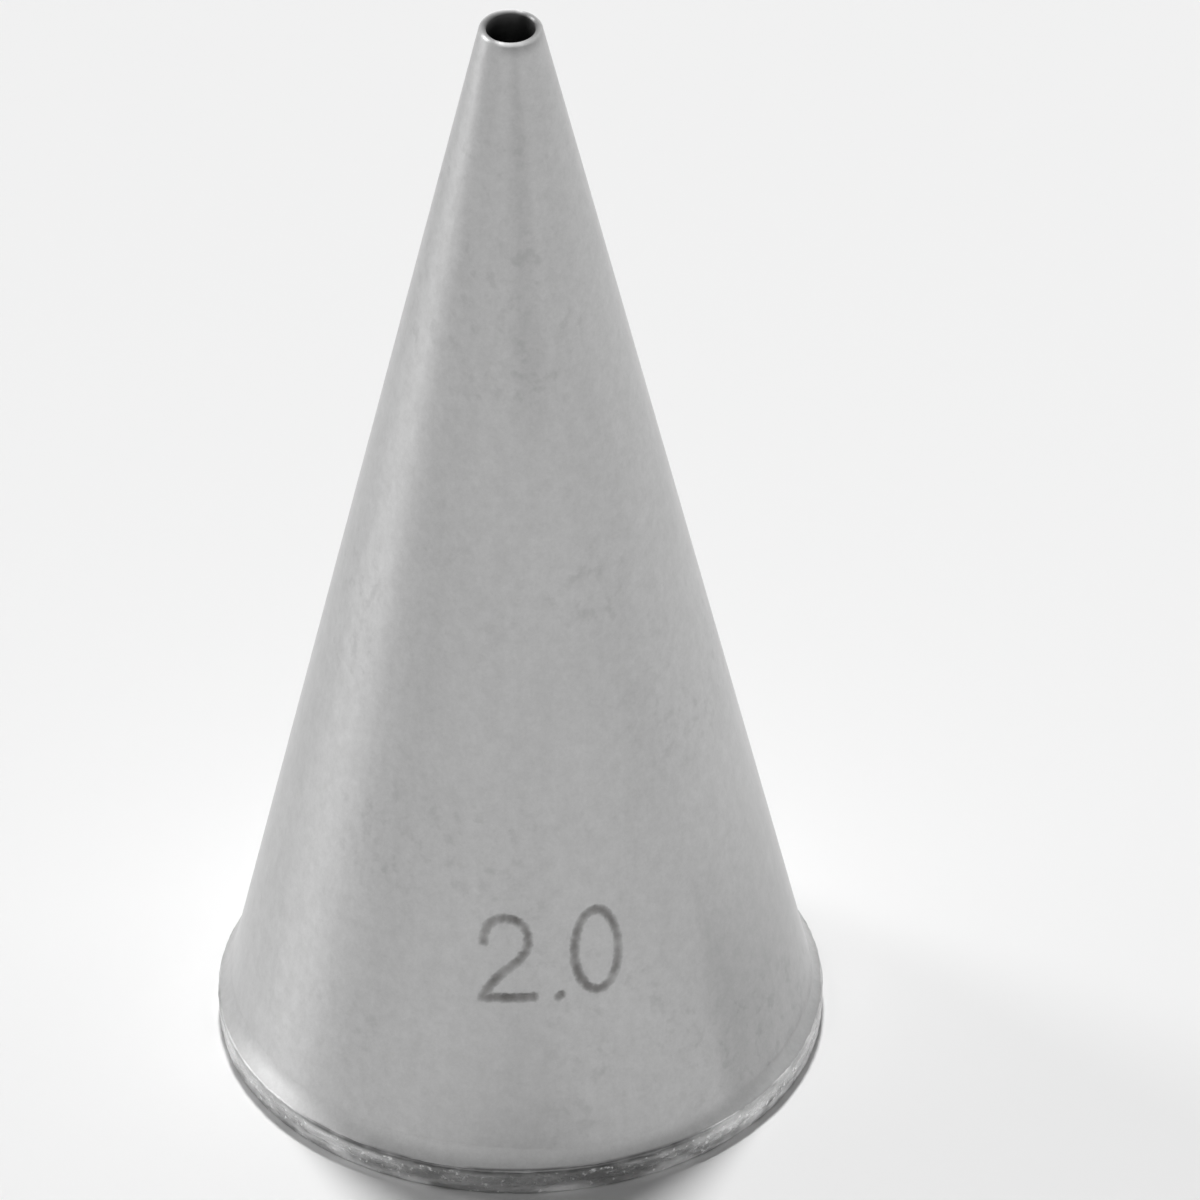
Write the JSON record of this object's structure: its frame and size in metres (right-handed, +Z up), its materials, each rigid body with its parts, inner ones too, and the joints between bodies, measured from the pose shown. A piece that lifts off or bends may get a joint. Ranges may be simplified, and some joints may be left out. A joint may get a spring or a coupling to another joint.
{
  "type": "piping nozzle",
  "caption": "Tall plain round piping nozzle: a slim steel cone with a 2 mm outlet at its tip and a raised strip ring welded round its mouth.",
  "frame": {"origin": "centre of the wide mouth, on the plane that the nozzle stands on", "axes": "+Z up along the cone's axis, from the mouth to the outlet; the nozzle is round, so +X is any direction square to it"},
  "size_m": [0.025, 0.025, 0.05],
  "materials": {
    "satin_steel": "satin, fine grain",
    "rim_steel": "buffed, with fine dents and scuffs",
    "weld_steel": "dressed weld, satin"
  },
  "bodies": {
    "root": {"cone_shell": "satin_steel", "rim_ring": "rim_steel", "weld_fillet": "weld_steel"}
  },
  "joints": []
}
